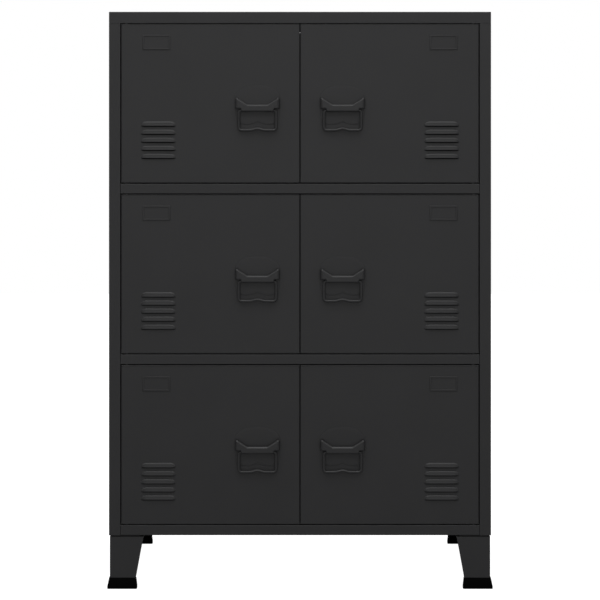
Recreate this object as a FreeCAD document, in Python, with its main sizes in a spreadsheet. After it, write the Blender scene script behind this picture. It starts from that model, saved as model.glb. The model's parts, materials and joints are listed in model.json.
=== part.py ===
"""Sheet-steel storage cabinet with six hinged doors on four angle legs.

Frame: X to the right, fronts face -Y, Z up, origin on the floor at the centre of the overall box.
Every size is in millimetres and is driven from the Sizes sheet; Places holds what follows from it.
"""

import math
import os
import re

import FreeCAD
import Part
import Sketcher
from FreeCAD import Placement, Rotation, Vector

SIZES = {
    # casing
    "overall_width": 760,
    "overall_height": 1147,
    "overall_depth": 400,
    "leg_height": 106,
    "sheet": 0.8,
    "fold_radius": 1.4,
    "seam": 0.4,
    "stile_width": 23,
    "stile_return": 12,
    "top_fascia": 22.5,
    "rail_height": 20,
    "rail_return": 34,
    "bottom_rail": 20.3,
    "edge_flange": 15,
    "base_flange": 60,
    # doors
    "door_gap": 2.5,
    "side_gap": 2,
    "door_depth": 18,
    "door_return": 10,
    "door_radius": 1,
    "hinge_inset": 10,
    "hinge_setback": 6,
    "pin_radius": 2,
    "pin_reach": 5,
    "running_fit": 0.05,
    "washer_radius": 4.5,
    "washer_slack": 0.3,
    # louvres
    "louvre_count": 5,
    "louvre_length": 68.5,
    "louvre_rise": 9.6,
    "louvre_bulge": 3.6,
    "louvre_pitch": 16,
    "louvre_inset": 39,
    "louvre_foot": 48.2,
    "louvre_shoulder_out": 0.72,
    "louvre_shoulder_down": 0.25,
    "louvre_face_down": 0.6,
    # card holder
    "card_width": 55,
    "card_height": 29.5,
    "card_bulge": 1.4,
    "card_rim": 3.2,
    "card_slot": 0.6,
    "card_inset": 42,
    "card_drop": 21,
    # handle
    "handle_offset": 84.5,
    "handle_drop": 159,
    "handle_width": 89,
    "handle_reach": 12,
    "plate_thickness": 1.2,
    "plate_shoulder": 13.5,
    "plate_arch": 24,
    "plate_skirt": 34,
    "plate_point": 40,
    "bow_sheet": 1.6,
    "bow_flat": 20,
    "bow_band": 14.6,
    "bow_tip": 13.5,
    "bow_wing": 9,
    "bow_notch": 33,
    "bow_foot": 8,
    "bow_radius": 6,
    "bail_wire": 2.7,
    "bail_half_span": 37,
    "bail_foot": 51.3,
    "bail_wave": 3,
    "bail_wave_reach": 15,
    "bail_corner": 5.5,
    "pivot_drop": 11.8,
    "pivot_setout": 5.8,
    "lug_offset": 22,
    "lug_width": 4,
    "lug_wall": 1.2,
    # legs and feet
    "leg_inset": 1.5,
    "leg_top_width": 67,
    "leg_foot_width": 52,
    "leg_sheet": 2,
    "leg_seat": 3,
    "leg_seat_inset": 6,
    "leg_corner": 30,
    "leg_fold": 2.5,
    "cap_height": 21.5,
    "cap_shoulder": 16.5,
    "cap_flare": 4.75,
    "cap_arm": 8,
    "cap_lip": 1.4,
    "cap_floor": 3,
    "cap_fit": 0.2,
    "pad_plate": 2.5,
    "bolt_near": 25,
    "bolt_far": 50,
    "bolt_radius": 3,
    # small fixings
    "screw_radius": 1.9,
    "screw_head": 3.8,
    "screw_head_height": 2.2,
    "screw_length": 7,
    "handle_screw_rise": 6,
    "catch_screw_inset": 4,
    "catch_width": 36,
    "catch_depth": 14,
    "catch_height": 12,
    "catch_inset": 12,
    "magnet_width": 24,
    "magnet_depth": 4,
    "magnet_height": 7,
    "plug_height": 332,
    "plug_setback": 60,
    "plug_radius": 9,
    "plug_dome": 1.2,
    "plug_round": 0.6,
}

# What follows from the sizes: the names may use any size and any place above them.
PLACES = {
    "half_width": "overall_width / 2",
    "front_y": "handle_reach - (overall_depth + handle_reach + cap_flare - leg_inset) / 2",
    "back_y": "front_y + overall_depth",
    "rear_y": "back_y - 2 * sheet",
    "case_top": "overall_height - top_fascia",
    "side_height": "case_top - leg_height - seam",
    "opening_half": "half_width - stile_width",
    "rail_half": "opening_half - seam",
    "door_height": "(case_top - leg_height - bottom_rail - 2 * rail_height - 6 * door_gap) / 3",
    "row_pitch": "door_height + 2 * door_gap + rail_height",
    "lower_base": "leg_height + bottom_rail + door_gap",
    "middle_base": "lower_base + row_pitch",
    "upper_base": "middle_base + row_pitch",
    "hinge_edge": "-(opening_half - side_gap)",
    "centre_edge": "-door_gap / 2",
    "hinge_x": "hinge_edge + hinge_inset",
    "hinge_y": "front_y + hinge_setback",
    "wing_front_y": "front_y + stile_return + seam",
    "handle_z": "door_height - handle_drop",
    "pivot_y": "front_y - pivot_setout",
    "pivot_z": "handle_z - pivot_drop",
    "bow_front_y": "front_y - handle_reach",
    "handle_screw_x": "handle_width / 2 - bow_foot / 2",
    "handle_screw_z": "handle_z + handle_screw_rise",
    "leg_x": "-half_width + leg_inset",
    "leg_y": "front_y + leg_inset",
    "leg_top": "leg_height - leg_seat",
    "leg_slope": "(leg_top_width - leg_foot_width) / (leg_top - cap_height)",
    "leg_tip_width": "leg_foot_width - leg_slope * (cap_height - cap_floor)",
    "catch_x": "centre_edge - catch_inset - catch_width / 2",
    "catch_y": "front_y + door_depth + washer_slack",
    "catch_screw_y": "catch_y + catch_depth - catch_screw_inset",
}

ROWS = ("lower", "middle", "upper")


# ---------------------------------------------------------------- document and expressions

def number_sheet(doc):
    """The driving sizes, one plain number to a cell."""
    sheet = doc.addObject("Spreadsheet::Sheet", "Sizes")
    for row, (alias, number) in enumerate(SIZES.items(), start=1):
        sheet.set(f"A{row}", alias.replace("_", " "))
        sheet.set(f"B{row}", str(number))
        sheet.setAlias(f"B{row}", alias)
    doc.recompute()
    return sheet


def place_sheet(doc):
    """The sizes and places that follow from the driving ones."""
    sheet = doc.addObject("Spreadsheet::Sheet", "Places")
    for row, (alias, formula) in enumerate(PLACES.items(), start=1):
        sheet.set(f"A{row}", alias.replace("_", " "))
        sheet.set(f"B{row}", "=" + linked(formula))
        sheet.setAlias(f"B{row}", alias)
        doc.recompute()
    return sheet


def linked(formula):
    """The formula with each name written as a reference to the sheet that holds it."""
    def with_sheet(match):
        name = match.group(0)
        if name in SIZES:
            return "Sizes." + name
        return "Places." + name if name in PLACES else name
    return re.sub(r"[a-z][a-z0-9_]*", with_sheet, str(formula))


def value(formula):
    """The formula's number, in millimetres."""
    result = SHEET.evalExpression(linked(formula))
    return float(getattr(result, "Value", result))


def minus(formula):
    """The formula with its sign turned."""
    return f"-({formula})"


# ---------------------------------------------------------------- PartDesign helpers

def new_body(name, height=None):
    """A body whose Label names its file, lifted by `height` when one is given."""
    body = DOC.addObject("PartDesign::Body", name)
    body.Label = name
    if height:
        body.setExpression("Placement.Base.z", linked(height))
    return body


def new_sketch(body, role, level):
    """A sketch parallel to one of the body's own planes, `level` along that plane's normal."""
    sketch = body.newObject("Sketcher::SketchObject", f"{body.Name}_sketch")
    plane = next(item for item in body.Origin.OriginFeatures if item.Role == role)
    sketch.AttachmentSupport = [(plane, "")]
    sketch.MapMode = "FlatFace"
    sketch.setExpression("AttachmentOffset.Base.z", linked(level))
    return sketch


def bind(sketch, kind, geometry, point, formula):
    """A dimension from the sketch's origin to one point, bound to a formula."""
    rule = Sketcher.Constraint(kind, -1, 1, geometry, point, value(formula))
    sketch.setExpression(f"Constraints[{sketch.addConstraint(rule)}]", linked(formula))


def polygon(sketch, points):
    """A closed outline of straight lines through points given as formulas."""
    corners = [Vector(value(across), value(along), 0) for across, along in points]
    pairs = zip(corners, corners[1:] + corners[:1])
    lines = [sketch.addGeometry(Part.LineSegment(start, end)) for start, end in pairs]
    for line, following in zip(lines, lines[1:] + lines[:1]):
        sketch.addConstraint(Sketcher.Constraint("Coincident", line, 2, following, 1))
    for line, (across, along) in zip(lines, points):
        bind(sketch, "DistanceX", line, 1, across)
        bind(sketch, "DistanceY", line, 1, along)


def rectangle(sketch, left, right, low, high):
    """A rectangle between four formulas."""
    polygon(sketch, [(left, low), (right, low), (right, high), (left, high)])


def circle(sketch, across, along, radius):
    """A circle with its centre and radius bound to formulas."""
    centre = Vector(value(across), value(along), 0)
    ring = sketch.addGeometry(Part.Circle(centre, Vector(0, 0, 1), value(radius)))
    bind(sketch, "DistanceX", ring, 3, across)
    bind(sketch, "DistanceY", ring, 3, along)
    rule = sketch.addConstraint(Sketcher.Constraint("Radius", ring, value(radius)))
    sketch.setExpression(f"Constraints[{rule}]", linked(radius))


def pad(body, sketch, length, midplane=False):
    """A pad along the sketch's normal."""
    feature = body.newObject("PartDesign::Pad", f"{body.Name}_pad")
    feature.Profile = sketch
    feature.Midplane = midplane
    feature.setExpression("Length", linked(length))
    return feature


def pocket(body, sketch, length, midplane=True):
    """A pocket cut evenly to both sides of its sketch, unless it is told otherwise."""
    feature = body.newObject("PartDesign::Pocket", f"{body.Name}_pocket")
    feature.Profile = sketch
    feature.Midplane = midplane
    feature.setExpression("Length", linked(length))
    return feature


def drill(body, role, level, centres, radius, depth="2 * leg_sheet + 1"):
    """Round holes through the sheet at `level`, cut evenly to both sides of it."""
    sketch = new_sketch(body, role, level)
    for across, along in centres:
        circle(sketch, across, along, radius)
    return pocket(body, sketch, depth)


def round_edges(body, radius, is_chosen):
    """A fillet on each edge of the body that `is_chosen` accepts."""
    DOC.recompute()
    edges = enumerate(body.Tip.Shape.Edges, start=1)
    names = [f"Edge{number}" for number, edge in edges if is_chosen(edge)]
    base = body.Tip
    feature = body.newObject("PartDesign::Fillet", f"{body.Name}_fillet")
    feature.Base = (base, names)
    feature.setExpression("Radius", linked(radius))
    return feature


def upright_at(across, deep):
    """A test for upright edges at one place in plan."""
    spot = Vector(value(across), value(deep), 0)

    def test(edge):
        first, last = edge.Vertexes[0].Point, edge.Vertexes[-1].Point
        near = all(abs(p.x - spot.x) < 0.01 and abs(p.y - spot.y) < 0.01 for p in (first, last))
        return near and abs(first.z - last.z) > 1
    return test


def any_of(tests):
    """A test that accepts what any of `tests` accepts."""
    return lambda edge: any(test(edge) for test in tests)


def mirrored(source, name, normal, base="0"):
    """A mirror image of a finished piece, as a piece of its own."""
    feature = DOC.addObject("Part::Mirroring", name)
    feature.Label = name
    feature.Source = source
    feature.Normal = normal
    feature.setExpression("Base.y", linked(base))
    return feature


def copies(name, master, spots):
    """One node of identical separate pieces: `master` set at each (point, direction of its +Z)."""
    shapes = []
    for point, direction in spots:
        shape = master.Shape.copy()
        shape.Placement = Placement(Vector(*point), Rotation(Vector(0, 0, 1), Vector(*direction)))
        shapes.append(shape)
    feature = DOC.addObject("Part::Feature", name)
    feature.Label = name
    feature.Shape = Part.makeCompound(shapes)
    return feature


def turned_master(name, outline):
    """A turned piece about its own Z axis, from an outline in the XZ plane."""
    body = new_body(name)
    sketch = new_sketch(body, "XZ_Plane", "0")
    polygon(sketch, outline)
    feature = body.newObject("PartDesign::Revolution", f"{name}_turn")
    feature.Profile = sketch
    feature.ReferenceAxis = (sketch, ["V_Axis"])
    feature.Angle = 360
    DOC.recompute()
    return body


# ---------------------------------------------------------------- casing

def side_panel():
    """Left side: web, front stile with its return, rear, top and bottom flanges."""
    body = new_body("left_side_panel")
    outer, stile = "-half_width", "-opening_half"
    plan = new_sketch(body, "XY_Plane", "leg_height")
    polygon(plan, [
        (outer, "front_y"),
        (stile, "front_y"),
        (stile, "front_y + stile_return"),
        (f"{stile} - sheet", "front_y + stile_return"),
        (f"{stile} - sheet", "front_y + sheet"),
        (f"{outer} + sheet", "front_y + sheet"),
        (f"{outer} + sheet", "back_y - sheet"),
        (f"{outer} + edge_flange", "back_y - sheet"),
        (f"{outer} + edge_flange", "back_y"),
        (outer, "back_y"),
    ])
    pad(body, plan, "side_height")
    side_flange(body, "leg_height", "base_flange", "front_y + rail_return + seam")
    side_flange(body, "leg_height + side_height - sheet", "edge_flange", "wing_front_y")
    near, far = f"{outer} + bolt_near", f"{outer} + bolt_far"
    spots = [(near, "front_y + bolt_far"), (near, "back_y - bolt_far"), (far, "back_y - bolt_near")]
    drill(body, "XY_Plane", "leg_height", spots, "bolt_radius + running_fit")
    spots = [(f"{outer} + edge_flange / 2", deep) for deep in LID_SCREW_DEPTHS]
    drill(body, "XY_Plane", "leg_height + side_height", spots, "screw_radius + running_fit")
    spots = [(f"{outer} + edge_flange / 2", height) for height in BACK_SCREW_HEIGHTS]
    drill(body, "XZ_Plane", minus("back_y"), spots, "screw_radius + running_fit")
    folds = [(outer, "front_y"), (stile, "front_y"), (outer, "back_y")]
    round_edges(body, "fold_radius", any_of([upright_at(*fold) for fold in folds]))
    return body


def side_flange(body, level, width, start):
    """A flange folded inward from the side web."""
    sketch = new_sketch(body, "XY_Plane", level)
    rectangle(sketch, "-half_width + sheet", f"-half_width + {width}", start, "back_y - sheet")
    pad(body, sketch, "sheet")


def right_side_panel(left):
    """The mirrored side with a hole for its blanking plug."""
    image = mirrored(left, "right_side_blank", Vector(1, 0, 0))
    hole = DOC.addObject("Part::Cylinder", "plug_hole")
    hole.Placement = Placement(Vector(0, 0, 0), Rotation(Vector(0, 1, 0), 90))
    hole.setExpression("Placement.Base.x", linked("half_width - 5"))
    hole.setExpression("Placement.Base.y", linked("front_y + plug_setback"))
    hole.setExpression("Placement.Base.z", linked("plug_height"))
    hole.setExpression("Radius", linked("plug_radius - 2"))
    hole.setExpression("Height", "10")
    cut = DOC.addObject("Part::Cut", "right_side_panel")
    cut.Label = "right_side_panel"
    cut.Base = image
    cut.Tool = hole
    return cut


def top_panel():
    """Lid folded down on all four sides, with return lips under its edges."""
    body = new_body("top_panel")
    lip = new_sketch(body, "XY_Plane", "case_top")
    case_outline(lip, "0", "0", "0")
    case_outline(lip, "edge_flange", "rail_return", "edge_flange")
    pad(body, lip, "sheet")
    skirt = new_sketch(body, "XY_Plane", "case_top")
    case_outline(skirt, "0", "0", "0")
    case_outline(skirt, "sheet", "sheet", "sheet")
    pad(body, skirt, "top_fascia")
    lid = new_sketch(body, "XY_Plane", "overall_height - sheet")
    case_outline(lid, "0", "0", "0")
    pad(body, lid, "sheet")
    screws = [(f"{side} * (half_width - edge_flange / 2)", deep)
              for side in (-1, 1) for deep in LID_SCREW_DEPTHS]
    drill(body, "XY_Plane", "case_top", screws, "screw_radius + running_fit")
    front_fixings(body, "case_top")
    round_edges(body, "fold_radius", is_lid_edge)
    return body


def case_outline(sketch, side_inset, front_inset, rear_inset):
    """The casing's plan rectangle, drawn in by an inset on each edge."""
    rectangle(sketch, f"-half_width + {side_inset}", f"half_width - {side_inset}",
              f"front_y + {front_inset}", f"back_y - {rear_inset}")


def is_lid_edge(edge):
    """The lid's top edges and its four upright corners."""
    box = edge.BoundBox
    at_top = box.ZMin > value("overall_height") - 0.01
    at_side = abs(abs(box.Center.x) - value("half_width")) < 0.01
    at_end = min(abs(box.Center.y - value("front_y")), abs(box.Center.y - value("back_y"))) < 0.01
    is_corner = at_side and at_end and box.ZLength > 1
    return is_corner or (at_top and (at_side or at_end))


def shelf(name, top, rail, flange):
    """Shelf folded into a box rail at the front, with flanges down at its sides and rear."""
    body = new_body(name)
    section = new_sketch(body, "YZ_Plane", "0")
    low = f"{top} - {rail}"
    polygon(section, [
        ("front_y", top),
        ("front_y", low),
        ("front_y + rail_return", low),
        ("front_y + rail_return", f"{low} + sheet"),
        ("front_y + sheet", f"{low} + sheet"),
        ("front_y + sheet", f"{top} - sheet"),
        ("rear_y - sheet", f"{top} - sheet"),
        ("rear_y - sheet", f"{top} - edge_flange"),
        ("rear_y", f"{top} - edge_flange"),
        ("rear_y", top),
    ])
    pad(body, section, "2 * rail_half", midplane=True)
    wings = new_sketch(body, "XZ_Plane", minus("rear_y"))
    for side in (-1, 1):
        edge = f"{side} * (half_width - sheet - seam)"
        polygon(wings, [
            (f"{side} * (rail_half - 1)", top),
            (edge, top),
            (edge, f"{top} - {flange}"),
            (f"{edge} - {side} * sheet", f"{top} - {flange}"),
            (f"{edge} - {side} * sheet", f"{top} - sheet"),
            (f"{side} * (rail_half - 1)", f"{top} - sheet"),
        ])
    pad(body, wings, "rear_y - wing_front_y")
    hinge_holes(body, top)
    front_fixings(body, low)
    rear = [(across, f"{top} - edge_flange / 2") for across in REAR_SCREW_PLACES]
    drill(body, "XZ_Plane", minus("rear_y"), rear, "screw_radius + running_fit")
    round_edges(body, "fold_radius", any_of([front_edge_at(top), front_edge_at(low)]))
    return body


def front_edge_at(height):
    """A test for the long edge of a rail's face at one height."""
    level = value(height)

    def test(edge):
        box = edge.BoundBox
        in_front = box.YMax < value("front_y") + 0.01
        return in_front and abs(box.Center.z - level) < 0.01 and box.XLength > 100
    return test


def hinge_holes(body, level):
    """Two pin holes through the sheet at one level."""
    spots = [("hinge_x", "hinge_y"), ("-hinge_x", "hinge_y")]
    drill(body, "XY_Plane", level, spots, "pin_radius + running_fit")


def front_fixings(body, level):
    """Pin holes and catch screw holes in the lip above a row of doors."""
    hinge_holes(body, level)
    spots = [(f"{side} * catch_x", "catch_screw_y") for side in (-1, 1)]
    drill(body, "XY_Plane", level, spots, "screw_radius + running_fit")


def bottom_panel():
    """The lowest shelf, standing on the side flanges, with holes for the front legs' bolts."""
    body = shelf("bottom_panel", SHELF_TOPS[0], "bottom_rail", "(bottom_rail - sheet)")
    spots = [(f"{side} * (half_width - bolt_far)", "front_y + bolt_near") for side in (-1, 1)]
    drill(body, "XY_Plane", "leg_height", spots, "bolt_radius + running_fit")
    return body


def back_panel():
    """Rear sheet, held against the side panels' rear flanges from inside."""
    body = new_body("back_panel")
    sketch = new_sketch(body, "XZ_Plane", minus("back_y - sheet"))
    rectangle(sketch, "-(half_width - sheet - seam)", "half_width - sheet - seam",
              "leg_height + sheet + seam", "case_top - sheet - 2 * seam")
    pad(body, sketch, "sheet")
    sides = [(f"{side} * (half_width - edge_flange / 2)", height)
             for side in (-1, 1) for height in BACK_SCREW_HEIGHTS]
    shelves = [(across, f"{top} - edge_flange / 2")
               for across in REAR_SCREW_PLACES for top in SHELF_TOPS]
    drill(body, "XZ_Plane", minus("rear_y"), sides + shelves, "screw_radius + running_fit")
    return body


# ---------------------------------------------------------------- legs and feet

def leg():
    """Front left leg: a folded angle that tapers to the foot, a bolting flange on top, and a seat
    plate welded to the flange that holds it clear of the casing."""
    body = new_body("front_left_leg")
    face = new_sketch(body, "XZ_Plane", minus("leg_y + leg_sheet"))
    polygon(face, leg_outline("leg_x"))
    pad(body, face, "leg_sheet")
    flank = new_sketch(body, "YZ_Plane", "leg_x")
    polygon(flank, leg_outline("leg_y"))
    pad(body, flank, "leg_sheet")
    flange = new_sketch(body, "XY_Plane", "leg_top - leg_sheet")
    polygon(flange, leg_plan("0"))
    pad(body, flange, "leg_sheet")
    seat = new_sketch(body, "XY_Plane", "leg_top")
    polygon(seat, leg_plan("leg_seat_inset"))
    pad(body, seat, "leg_seat")
    drill(body, "XY_Plane", "leg_height", LEG_BOLTS, "bolt_radius + running_fit",
          "2 * (leg_sheet + leg_seat) + 1")
    round_edges(body, "leg_fold", upright_at("leg_x", "leg_y"))
    return body


def leg_plan(inset):
    """The top of the leg seen from above, a square with its inner corner cut off, `inset` in from its edges."""
    near, far = inset, f"leg_top_width - {inset}"
    return [
        (f"leg_x + {near}", f"leg_y + {near}"),
        (f"leg_x + {far}", f"leg_y + {near}"),
        (f"leg_x + {far}", "leg_y + leg_corner"),
        ("leg_x + leg_corner", f"leg_y + {far}"),
        (f"leg_x + {near}", f"leg_y + {far}"),
    ]


def leg_outline(corner):
    """One face of the leg, from the cap's floor to its top flange, upright on its outer edge."""
    return [
        (corner, "cap_floor"),
        (f"{corner} + leg_tip_width", "cap_floor"),
        (f"{corner} + leg_top_width", "leg_top"),
        (corner, "leg_top"),
    ]


def cap_outline(flare):
    """The foot's angle in plan: its outer sides stand out by the flare, its inner ones by half."""
    inner = f"{flare} / 2"
    end = f"leg_foot_width + {inner}"
    arm = f"cap_arm + {inner}"
    return [
        (f"leg_x - {flare}", f"leg_y - {flare}"),
        (f"leg_x + {end}", f"leg_y - {flare}"),
        (f"leg_x + {end}", f"leg_y + {arm}"),
        (f"leg_x + {arm}", f"leg_y + {arm}"),
        (f"leg_x + {arm}", f"leg_y + {end}"),
        (f"leg_x - {flare}", f"leg_y + {end}"),
    ]


def foot_cap():
    """Front left plastic foot: an angle in plan, flared to its sole, slotted for the leg's angle."""
    body = new_body("front_left_foot_cap")
    rings = (("0", "cap_flare"), ("cap_height - cap_shoulder", "cap_flare"), ("cap_height", "cap_lip"))
    sketches = []
    for level, flare in rings:
        sketch = new_sketch(body, "XY_Plane", level)
        polygon(sketch, cap_outline(flare))
        sketches.append(sketch)
    pad(body, sketches[0], "cap_height - cap_shoulder")
    loft = body.newObject("PartDesign::AdditiveLoft", "cap_loft")
    loft.Profile = sketches[1]
    loft.Sections = [sketches[2]]
    loft.Ruled = True
    slot = new_sketch(body, "XY_Plane", "cap_height")
    inner = "leg_sheet + cap_fit"
    far = "leg_foot_width + cap_fit"
    polygon(slot, [
        ("leg_x - cap_fit", "leg_y - cap_fit"),
        (f"leg_x + {far}", "leg_y - cap_fit"),
        (f"leg_x + {far}", f"leg_y + {inner}"),
        (f"leg_x + {inner}", f"leg_y + {inner}"),
        (f"leg_x + {inner}", f"leg_y + {far}"),
        ("leg_x - cap_fit", f"leg_y + {far}"),
    ])
    pocket(body, slot, "cap_height - cap_floor", midplane=False)
    return body


def four_corners(front_left, name):
    """The piece at the front left and its images at the other three corners."""
    middle = "(front_y + back_y) / 2"
    front_right = mirrored(front_left, f"front_right_{name}", Vector(1, 0, 0))
    rear_left = mirrored(front_left, f"rear_left_{name}", Vector(0, 1, 0), middle)
    rear_right = mirrored(front_right, f"rear_right_{name}", Vector(0, 1, 0), middle)
    return [front_left, front_right, rear_left, rear_right]


# ---------------------------------------------------------------- doors

def door_panel(name, base):
    """Left door: a shallow folded tray with pressed louvres and pivot holes."""
    body = new_body(name, base)
    skin = new_sketch(body, "XZ_Plane", minus("front_y + sheet"))
    door_outline(skin, "0")
    pad(body, skin, "sheet")
    walls = new_sketch(body, "XZ_Plane", minus("front_y + door_depth"))
    door_outline(walls, "0")
    door_outline(walls, "sheet")
    pad(body, walls, "door_depth - sheet / 2")
    lip = new_sketch(body, "XZ_Plane", minus("front_y + door_depth"))
    door_outline(lip, "0")
    door_outline(lip, "door_return")
    pad(body, lip, "sheet")
    louvres(body)
    for level in ("0", "door_height"):
        drill(body, "XY_Plane", level, [("hinge_x", "hinge_y")], "pin_radius + running_fit")
    screws = [(f"-handle_offset + {side} * handle_screw_x", "handle_screw_z") for side in (-1, 1)]
    drill(body, "XZ_Plane", minus("front_y"), screws, "screw_radius + running_fit")
    round_edges(body, "door_radius", is_door_rim)
    return body


def door_outline(sketch, inset):
    """The door's front rectangle, drawn in by an inset."""
    rectangle(sketch, f"hinge_edge + {inset}", f"centre_edge - {inset}", inset,
              f"door_height - {inset}")


def is_door_rim(edge):
    """The four edges round the door's front face."""
    box = edge.BoundBox
    in_front = abs(box.YMin - value("front_y")) < 0.01 and box.YLength < 0.01
    at_side = min(abs(box.Center.x - value(side)) for side in ("hinge_edge", "centre_edge")) < 0.01
    at_end = min(abs(box.Center.z), abs(box.Center.z - value("door_height"))) < 0.01
    return in_front and (at_side or at_end) and max(box.XLength, box.ZLength) > 100


def louvres(body):
    """A column of hoods pressed out of the skin, each open underneath."""
    top = "(louvre_foot + louvre_pitch * (louvre_count - 1) + louvre_rise)"
    foot = f"{top} - louvre_rise"
    middle = "hinge_edge + louvre_inset + louvre_length / 2"
    hood = new_sketch(body, "YZ_Plane", middle)
    polygon(hood, [
        ("front_y", top),
        ("front_y - louvre_bulge * louvre_shoulder_out", f"{top} - louvre_rise * louvre_shoulder_down"),
        ("front_y - louvre_bulge", f"{top} - louvre_rise * louvre_face_down"),
        ("front_y - louvre_bulge", foot),
        ("front_y + sheet / 2", foot),
        ("front_y + sheet / 2", top),
    ])
    outer = pad(body, hood, "louvre_length", midplane=True)
    hollow = new_sketch(body, "YZ_Plane", middle)
    polygon(hollow, [
        ("front_y + 2 * sheet", f"{top} - 1.5 * sheet"),
        ("front_y", f"{top} - 1.5 * sheet"),
        (
            "front_y - louvre_bulge * louvre_shoulder_out + sheet",
            f"{top} - louvre_rise * louvre_shoulder_down - sheet",
        ),
        ("front_y - louvre_bulge + sheet", f"{top} - louvre_rise * louvre_face_down"),
        ("front_y - louvre_bulge + sheet", foot),
        ("front_y + 2 * sheet", foot),
    ])
    inner = pocket(body, hollow, "louvre_length - 2 * sheet")
    pattern = body.newObject("PartDesign::LinearPattern", f"{body.Name}_column")
    pattern.Originals = [outer, inner]
    pattern.Direction = (hood, ["V_Axis"])
    pattern.Reversed = True
    pattern.setExpression("Length", linked("louvre_pitch * (louvre_count - 1)"))
    pattern.setExpression("Occurrences", linked("louvre_count"))
    body.Tip = pattern


def card_holder(name, base):
    """Low frame on the door's outer upper corner, with a slot behind it for a card."""
    body = new_body(name, base)
    left = "hinge_edge + card_inset"
    low = "door_height - card_drop - card_height"
    frame = new_sketch(body, "XZ_Plane", minus("front_y"))
    for inset in ("0", "card_rim"):
        rectangle(frame, f"{left} + {inset}", f"{left} + card_width - {inset}",
                  f"{low} + {inset}", f"{low} + card_height - {inset}")
    pad(body, frame, "card_bulge")
    slot = new_sketch(body, "XZ_Plane", minus("front_y"))
    rim = "card_rim / 2"
    rectangle(slot, f"{left} + {rim}", f"{left} + card_width - {rim}",
              f"{low} + {rim}", f"{low} + card_height - {rim}")
    pocket(body, slot, "2 * card_slot")
    return body


# ---------------------------------------------------------------- handles

def handle_plate(name, base):
    """Thin backplate, arched on top and pointed below, with two knuckles for the bail."""
    body = new_body(name, base)
    half = "handle_width / 2"
    face = new_sketch(body, "XZ_Plane", minus("front_y"))
    lower = [
        (f"-handle_offset - {half}", "handle_z + plate_shoulder"),
        (f"-handle_offset - {half} + 2", "handle_z - plate_skirt"),
        ("-handle_offset - bow_flat", "handle_z - plate_point"),
        ("-handle_offset", "handle_z - plate_skirt"),
        ("-handle_offset + bow_flat", "handle_z - plate_point"),
        (f"-handle_offset + {half} - 2", "handle_z - plate_skirt"),
        (f"-handle_offset + {half}", "handle_z + plate_shoulder"),
    ]
    arch_outline(face, lower)
    pad(body, face, "plate_thickness")
    knuckles = new_sketch(body, "XZ_Plane", minus("front_y - plate_thickness / 2"))
    for side in (-1, 1):
        middle = f"-handle_offset + {side} * lug_offset"
        reach = "(bail_wire + running_fit + lug_wall)"
        rectangle(knuckles, f"{middle} - lug_width / 2", f"{middle} + lug_width / 2",
                  f"pivot_z - {reach}", f"pivot_z + {reach}")
    pad(body, knuckles, "pivot_setout + bail_wire + running_fit + lug_wall - plate_thickness / 2")
    bore = new_sketch(body, "YZ_Plane", "-handle_offset")
    circle(bore, "pivot_y", "pivot_z", "bail_wire + running_fit")
    pocket(body, bore, "2 * (lug_offset + lug_width)")
    screws = [(f"-handle_offset + {side} * handle_screw_x", "handle_screw_z") for side in (-1, 1)]
    drill(body, "XZ_Plane", minus("front_y"), screws, "screw_radius + running_fit")
    return body


def arch_outline(sketch, points):
    """A closed outline of lines through `points`, closed by an arc that rises by plate_arch."""
    corners = [Vector(value(across), value(along), 0) for across, along in points]
    crown = (corners[0] + corners[-1]) / 2 + Vector(0, value("plate_arch"), 0)
    lines = [sketch.addGeometry(Part.LineSegment(start, end))
             for start, end in zip(corners, corners[1:])]
    arch = sketch.addGeometry(Part.Arc(corners[-1], crown, corners[0]))
    for line, following in zip(lines, lines[1:]):
        sketch.addConstraint(Sketcher.Constraint("Coincident", line, 2, following, 1))
    sketch.addConstraint(Sketcher.Constraint("Coincident", lines[-1], 2, arch, 1))
    sketch.addConstraint(Sketcher.Constraint("Coincident", arch, 2, lines[0], 1))
    for line, (across, along) in zip(lines, points):
        bind(sketch, "DistanceX", line, 1, across)
        bind(sketch, "DistanceY", line, 1, along)
    bind(sketch, "DistanceX", lines[-1], 2, points[-1][0])
    bind(sketch, "DistanceY", lines[-1], 2, points[-1][1])
    radius = "((handle_width / 2) ^ 2 + plate_arch ^ 2) / (2 * plate_arch)"
    rule = sketch.addConstraint(Sketcher.Constraint("Radius", arch, value(radius)))
    sketch.setExpression(f"Constraints[{rule}]", linked(radius))


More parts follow.
